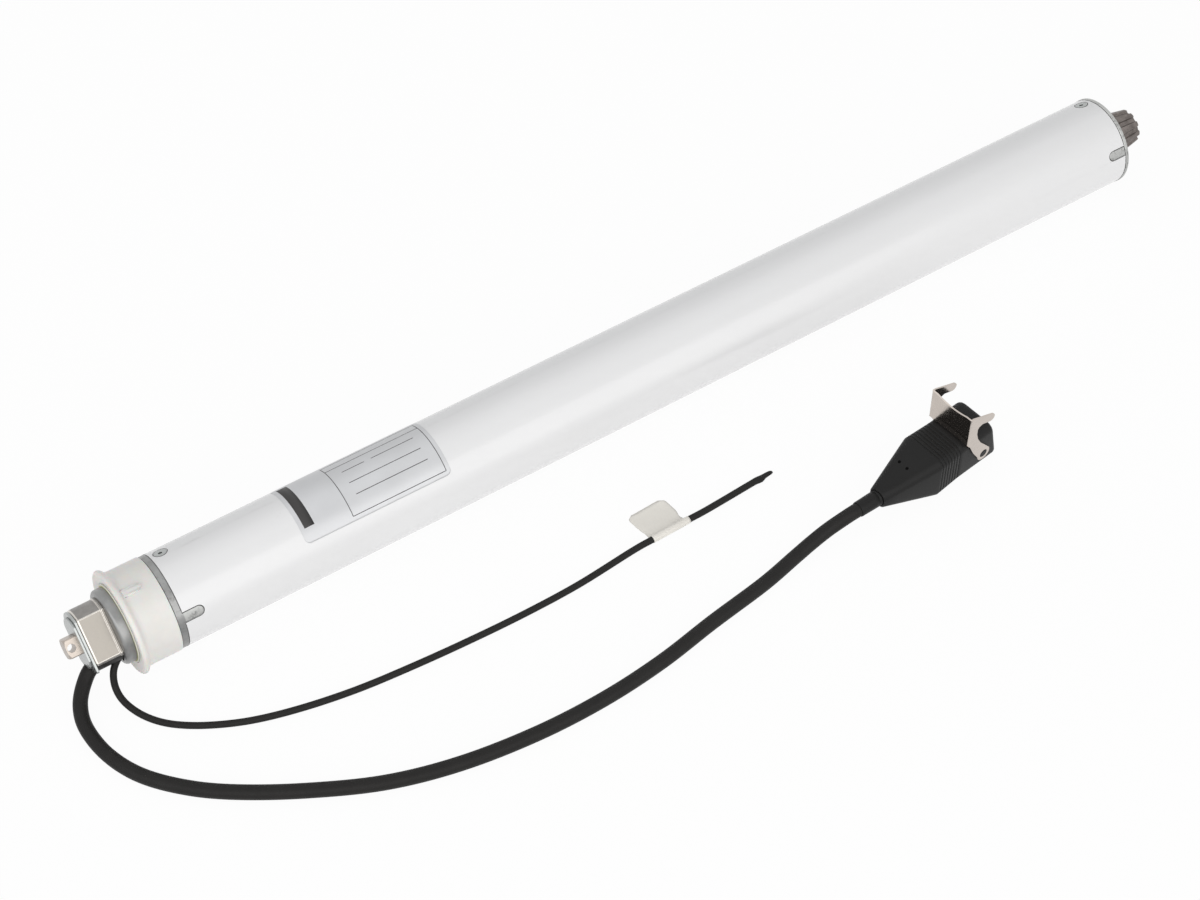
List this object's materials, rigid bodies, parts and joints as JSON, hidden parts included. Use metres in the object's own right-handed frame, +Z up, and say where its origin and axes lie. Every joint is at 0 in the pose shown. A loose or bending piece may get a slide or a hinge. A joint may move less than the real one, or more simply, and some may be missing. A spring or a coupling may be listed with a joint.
{
  "type": "tubular roller blind motor",
  "caption": "Tubular motor for a roller blind: white tube, cast head with square stub and turning crown, fluted drive at the far end, mains lead with a clip plug and a loose aerial lead.",
  "frame": {"origin": "centre of the locking pin hole in the square stub, on the motor axis", "axes": "+X along the motor axis towards the fluted drive, +Y away from the viewer of the picture, +Z up"},
  "size_m": [0.6805, 0.1851, 0.056],
  "materials": {
    "stub_steel": "warm nickel plating",
    "plate_steel": "zinc plated",
    "cast_block": "satin die casting",
    "cast_grey": "satin die casting",
    "ring_plastic": "pale yellow-green",
    "crown_plastic": "white, smooth",
    "gear_plastic": "natural",
    "unit_plastic": "dark blue-grey",
    "tube_paint": "white gloss powder coat",
    "tray_plastic": "dark grey",
    "board": "green laminate",
    "relay_plastic": "blue",
    "transformer_tape": "yellow tape",
    "capacitor_can": "light grey",
    "brake_iron": "machined",
    "copper": "varnished winding wire",
    "inner_steel": "machined",
    "lining": "friction lining",
    "planet_metal": "sintered",
    "drive_metal": "dark sintered",
    "lead_jacket": "matt black",
    "flag_film": "white film",
    "plug_plastic": "black",
    "pin_brass": "plain",
    "clip_steel": "nickel plated sheet"
  },
  "bodies": {
    "housing": {"bracket_stub": "stub_steel", "stub_flange": "stub_steel", "end_plate": "plate_steel", "plate_screws": "plate_steel", "head_block": "cast_block", "cable_grommet": "lead_jacket", "head_casting": "cast_grey", "retaining_ring": "ring_plastic", "limit_unit": "unit_plastic", "tube": "tube_paint", "casing_screws": "plate_steel", "board_tray": "tray_plastic", "control_board": "board", "terminal_block": "board", "relays": "relay_plastic", "transformer": "transformer_tape", "radio_module": "relay_plastic", "run_capacitor": "capacitor_can", "coil_housing": "brake_iron", "brake_coil": "copper", "brake_springs": "inner_steel", "guide_pins": "inner_steel", "shield_front": "cast_grey", "shield_rear": "cast_grey", "motor_bearings": "inner_steel", "stator_core": "inner_steel", "stator_windings": "copper", "gear_ring": "brake_iron", "gearbox_cover": "cast_grey", "output_bearings": "inner_steel", "end_flange": "cast_grey", "power_cord": "lead_jacket", "aerial_lead": "lead_jacket", "aerial_tip": "lead_jacket", "marker_flag": "flag_film", "plug_collar": "plug_plastic", "plug_body": "plug_plastic", "plug_insert": "plug_plastic", "plug_pins": "pin_brass", "clip_pivots": "plug_plastic"},
    "crown": {"crown": "crown_plastic"},
    "limit_pinion": {"limit_pinion": "gear_plastic"},
    "rotor": {"rotor_shaft": "inner_steel", "rotor_core": "inner_steel", "friction_disc": "lining"},
    "carrier_1": {"carrier_1": "inner_steel"},
    "carrier_2": {"carrier_2": "inner_steel"},
    "output": {"output_shaft": "drive_metal", "shaft_circlip": "inner_steel"},
    "armature": {"armature_plate": "brake_iron"},
    "plug_clip": {"plug_clip": "clip_steel"},
    "planet_1a": {"planet_1a": "planet_metal"},
    "planet_1b": {"planet_1b": "planet_metal"},
    "planet_1c": {"planet_1c": "planet_metal"},
    "planet_2a": {"planet_2a": "planet_metal"},
    "planet_2b": {"planet_2b": "planet_metal"},
    "planet_2c": {"planet_2c": "planet_metal"},
    "planet_3a": {"planet_3a": "planet_metal"},
    "planet_3b": {"planet_3b": "planet_metal"},
    "planet_3c": {"planet_3c": "planet_metal"}
  },
  "joints": [
    {"name": "crown_spin", "type": "hinge", "parent": "housing", "child": "crown", "pos_m": [0.0373, 0, 0], "axis": [1, 0, 0], "continuous": true},
    {"name": "limit_pinion_spin", "type": "hinge", "parent": "housing", "child": "limit_pinion", "pos_m": [0.0458, 0.01091, 0.0063], "axis": [1, 0, 0], "continuous": true},
    {"name": "rotor_spin", "type": "hinge", "parent": "housing", "child": "rotor", "pos_m": [0.4643, 0, 0], "axis": [1, 0, 0], "continuous": true},
    {"name": "carrier_1_spin", "type": "hinge", "parent": "housing", "child": "carrier_1", "pos_m": [0.5526, 0, 0], "axis": [1, 0, 0], "continuous": true},
    {"name": "carrier_2_spin", "type": "hinge", "parent": "housing", "child": "carrier_2", "pos_m": [0.5759, 0, 0], "axis": [1, 0, 0], "continuous": true},
    {"name": "output_spin", "type": "hinge", "parent": "housing", "child": "output", "pos_m": [0.656, 0, 0], "axis": [1, 0, 0], "continuous": true},
    {"name": "planet_1a_spin", "type": "hinge", "parent": "carrier_1", "child": "planet_1a", "pos_m": [0.5436, 0, 0.01155], "axis": [1, 0, 0], "continuous": true},
    {"name": "planet_1b_spin", "type": "hinge", "parent": "carrier_1", "child": "planet_1b", "pos_m": [0.5436, 0.01, -0.00577], "axis": [1, 0, 0], "continuous": true},
    {"name": "planet_1c_spin", "type": "hinge", "parent": "carrier_1", "child": "planet_1c", "pos_m": [0.5436, -0.01, -0.00577], "axis": [1, 0, 0], "continuous": true},
    {"name": "planet_2a_spin", "type": "hinge", "parent": "carrier_2", "child": "planet_2a", "pos_m": [0.5649, 0, 0.01155], "axis": [1, 0, 0], "continuous": true},
    {"name": "planet_2b_spin", "type": "hinge", "parent": "carrier_2", "child": "planet_2b", "pos_m": [0.5649, 0.01, -0.00577], "axis": [1, 0, 0], "continuous": true},
    {"name": "planet_2c_spin", "type": "hinge", "parent": "carrier_2", "child": "planet_2c", "pos_m": [0.5649, -0.01, -0.00577], "axis": [1, 0, 0], "continuous": true},
    {"name": "planet_3a_spin", "type": "hinge", "parent": "output", "child": "planet_3a", "pos_m": [0.5912, 0, 0.01155], "axis": [1, 0, 0], "continuous": true},
    {"name": "planet_3b_spin", "type": "hinge", "parent": "output", "child": "planet_3b", "pos_m": [0.5912, 0.01, -0.00577], "axis": [1, 0, 0], "continuous": true},
    {"name": "planet_3c_spin", "type": "hinge", "parent": "output", "child": "planet_3c", "pos_m": [0.5912, -0.01, -0.00577], "axis": [1, 0, 0], "continuous": true},
    {"name": "armature_slide", "type": "slide", "parent": "housing", "child": "armature", "axis": [-1, 0, 0], "range_m": [0, 0.0004], "stiffness_N_per_m": 2000, "springref_m": -0.0005},
    {"name": "clip_pivot", "type": "hinge", "parent": "housing", "child": "plug_clip", "pos_m": [0.45548, -0.12238, -0.016], "axis": [-0.1392, 0.9903, 0], "range_deg": [0, 75]}
  ],
  "couplings": [
    {"joint": "limit_pinion_spin", "follows": "crown_spin", "ratio": 2.5},
    {"joint": "carrier_1_spin", "follows": "rotor_spin", "ratio": 0.18182},
    {"joint": "carrier_2_spin", "follows": "rotor_spin", "ratio": 0.033058},
    {"joint": "output_spin", "follows": "rotor_spin", "ratio": 0.0060105},
    {"joint": "planet_1a_spin", "follows": "rotor_spin", "ratio": -0.46753},
    {"joint": "planet_1b_spin", "follows": "rotor_spin", "ratio": -0.46753},
    {"joint": "planet_1c_spin", "follows": "rotor_spin", "ratio": -0.46753},
    {"joint": "planet_2a_spin", "follows": "rotor_spin", "ratio": -0.085006},
    {"joint": "planet_2b_spin", "follows": "rotor_spin", "ratio": -0.085006},
    {"joint": "planet_2c_spin", "follows": "rotor_spin", "ratio": -0.085006},
    {"joint": "planet_3a_spin", "follows": "rotor_spin", "ratio": -0.015456},
    {"joint": "planet_3b_spin", "follows": "rotor_spin", "ratio": -0.015456},
    {"joint": "planet_3c_spin", "follows": "rotor_spin", "ratio": -0.015456}
  ]
}
